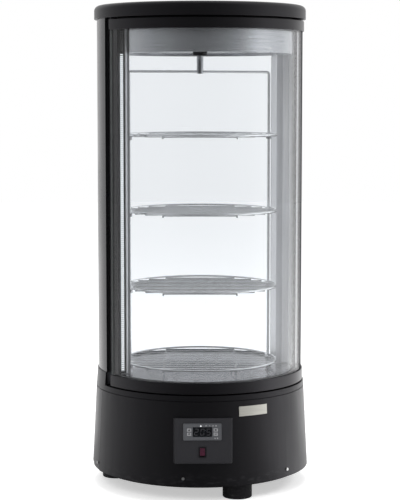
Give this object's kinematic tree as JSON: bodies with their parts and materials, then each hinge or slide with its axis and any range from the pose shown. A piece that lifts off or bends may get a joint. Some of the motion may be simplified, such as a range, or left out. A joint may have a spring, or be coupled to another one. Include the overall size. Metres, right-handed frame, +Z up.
{
  "type": "refrigerated display case",
  "caption": "Round upright chilled display case with a curved glass door, turning wire shelves, side light strip and a flared base with a digital control panel.",
  "frame": {"origin": "on the floor, on the cabinet's axis, midway between the feet's outer reach", "axes": "+Z up along the cabinet's axis, -Y out through the glass door, +X to the hinge side as seen from the front"},
  "size_m": [0.46, 0.4615, 1],
  "materials": {
    "galvanised_steel": "zinc-coated sheet, matt",
    "black_coat": "black powder coat, fine satin",
    "screw_steel": "bright pan-head screw",
    "foot_rubber": "matt black",
    "compressor_enamel": "black enamel",
    "mount_rubber": "matt",
    "coil_aluminium": "mill finish",
    "copper": "drawn copper tube",
    "black_plastic": "fine texture",
    "foam_panel": "foam core in black sheet",
    "collar_plastic": "satin black moulding",
    "stainless": "brushed along the curve",
    "column_satin": "satin anodised",
    "light_diffuser": "milky cover over small lamps",
    "trim_grey": "satin extrusion",
    "glass_clear": "clear toughened glass",
    "spacer_aluminium": "mill finish",
    "rail_black": "satin black",
    "ceiling_satin": "fine brushed",
    "cap_plastic": "satin black moulding",
    "gear_zinc": "die-cast housing",
    "motor_plastic": "moulded motor and guard",
    "plate_grey": "dark grey fine texture",
    "bezel_plastic": "grey moulding",
    "display_dark": "tinted lens",
    "badge_metal": "brushed, pale, bare",
    "pin_steel": "ground pin",
    "gasket_rubber": "soft magnetic seal",
    "shaft_chrome": "plated",
    "wire_chrome": "chromed wire",
    "clip_nickel": "plated",
    "fan_plastic": "moulded",
    "rocker_red": "translucent red",
    "button_grey": "soft keys"
  },
  "bodies": {
    "cabinet": {"base_frame": "black_coat", "front_skirt": "black_coat", "rear_skirt": "black_coat", "skirt_screws": "screw_steel", "foot_front": "foot_rubber", "foot_rear_left": "foot_rubber", "foot_rear_right": "foot_rubber", "compressor": "compressor_enamel", "compressor_mounts": "mount_rubber", "condenser": "coil_aluminium", "condenser_shroud": "galvanised_steel", "refrigerant_lines": "copper", "cord_gland": "black_plastic", "insulated_deck": "foam_panel", "collar": "collar_plastic", "floor_tray": "stainless", "left_column": "column_satin", "right_column": "column_satin", "left_shell": "black_coat", "right_shell": "black_coat", "led_channel": "black_plastic", "led_strip": "light_diffuser", "hinge_side_trim": "trim_grey", "rear_glass_outer": "glass_clear", "rear_glass_inner": "glass_clear", "rear_glass_spacer": "spacer_aluminium", "rear_top_rail": "rail_black", "head_ring": "stainless", "ceiling_panel": "ceiling_satin", "top_cap": "cap_plastic", "gearmotor": "gear_zinc", "evaporator": "coil_aluminium", "evaporator_motor": "motor_plastic", "control_plate": "plate_grey", "controller_case": "bezel_plastic", "display_lens": "display_dark", "switch_case": "black_plastic", "badge_plate": "badge_metal", "hinge_pins": "pin_steel"},
    "door": {"door_glass_outer": "glass_clear", "door_glass_inner": "glass_clear", "door_top_rail": "rail_black", "door_bottom_rail": "rail_black", "door_free_stile": "rail_black", "door_hinge_stile": "trim_grey", "door_gasket": "gasket_rubber"},
    "turning_shelves": {"drive_shaft": "shaft_chrome", "carrier_frame": "wire_chrome", "shelf_1": "wire_chrome", "shelf_2": "wire_chrome", "shelf_3": "wire_chrome", "shelf_4": "wire_chrome", "shelf_clips": "clip_nickel"},
    "condenser_fan": {"condenser_fan": "fan_plastic"},
    "evaporator_fan": {"evaporator_fan": "fan_plastic"},
    "rocker": {"rocker": "rocker_red"},
    "button_upper_left": {"button_upper_left": "button_grey"},
    "button_lower_left": {"button_lower_left": "button_grey"},
    "button_upper_right": {"button_upper_right": "button_grey"},
    "button_lower_right": {"button_lower_right": "button_grey"}
  },
  "joints": [
    {"name": "door_hinge", "type": "hinge", "parent": "cabinet", "child": "door", "pos_m": [0.204, -0.041, 0.59375], "axis": [0, 0, 1], "range_deg": [0, 120]},
    {"name": "shelf_turn", "type": "hinge", "parent": "cabinet", "child": "turning_shelves", "pos_m": [0, 0, 0.6], "axis": [0, 0, 1], "continuous": true},
    {"name": "condenser_fan_spin", "type": "hinge", "parent": "cabinet", "child": "condenser_fan", "pos_m": [-0.014, 0.098, 0.1], "axis": [0, 1, 0], "continuous": true},
    {"name": "evaporator_fan_spin", "type": "hinge", "parent": "cabinet", "child": "evaporator_fan", "pos_m": [0, -0.104, 0.921], "axis": [0, 0, 1], "continuous": true},
    {"name": "rocker_pivot", "type": "hinge", "parent": "cabinet", "child": "rocker", "pos_m": [-0.07916, -0.20856, 0.10523], "axis": [0.9373, -0.3486, 0], "range_deg": [0, 16]},
    {"name": "button_upper_left_press", "type": "slide", "parent": "cabinet", "child": "button_upper_left", "axis": [0.3481, 0.9361, -0.0508], "range_m": [0, 0.0008], "stiffness_N_per_m": 400},
    {"name": "button_lower_left_press", "type": "slide", "parent": "cabinet", "child": "button_lower_left", "axis": [0.3481, 0.9361, -0.0508], "range_m": [0, 0.0008], "stiffness_N_per_m": 400},
    {"name": "button_upper_right_press", "type": "slide", "parent": "cabinet", "child": "button_upper_right", "axis": [0.3481, 0.9361, -0.0508], "range_m": [0, 0.0008], "stiffness_N_per_m": 400},
    {"name": "button_lower_right_press", "type": "slide", "parent": "cabinet", "child": "button_lower_right", "axis": [0.3481, 0.9361, -0.0508], "range_m": [0, 0.0008], "stiffness_N_per_m": 400}
  ]
}
